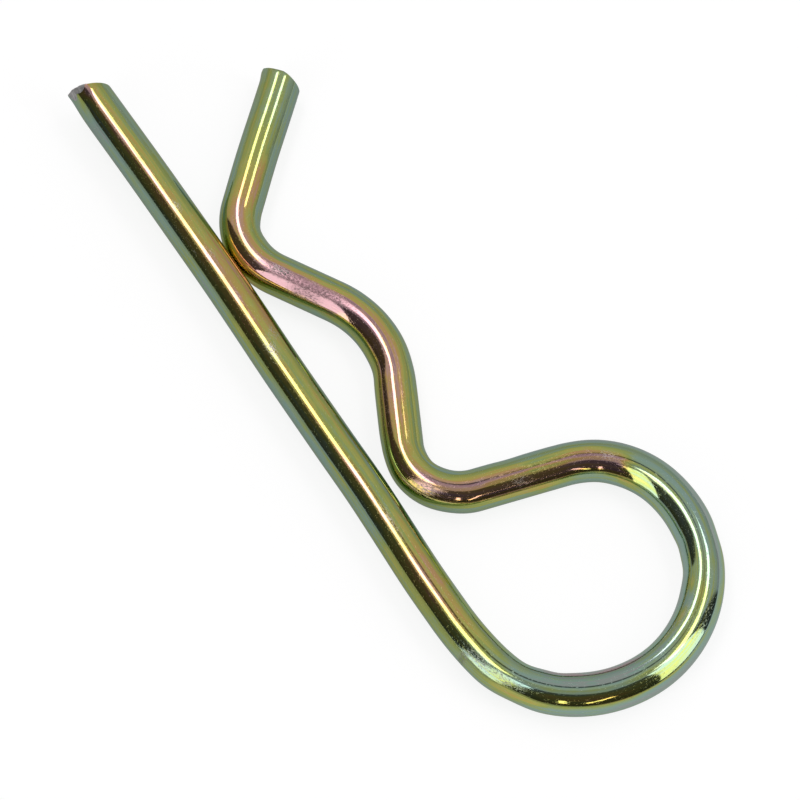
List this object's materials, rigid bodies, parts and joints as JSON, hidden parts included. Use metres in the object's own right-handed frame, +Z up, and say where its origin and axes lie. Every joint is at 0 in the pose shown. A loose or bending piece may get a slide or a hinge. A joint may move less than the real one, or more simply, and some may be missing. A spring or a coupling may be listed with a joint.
{
  "type": "hitch clip",
  "caption": "R-shaped hitch clip of round spring wire: a straight leg, a wavy leg with a pin seat and a flared tip, and a round eye to pull on.",
  "frame": {"origin": "where the pin's axis, midway along the straight leg's seat, meets the plane that the clip lies on", "axes": "+X along the straight leg from its tip to the eye, +Y from the straight leg to the wavy leg, +Z up along the pin's axis"},
  "size_m": [0.0807, 0.0283, 0.0054],
  "materials": {
    "spring_wire": "yellow iridescent zinc plating"
  },
  "bodies": {
    "root": {"clip": "spring_wire"}
  },
  "joints": []
}
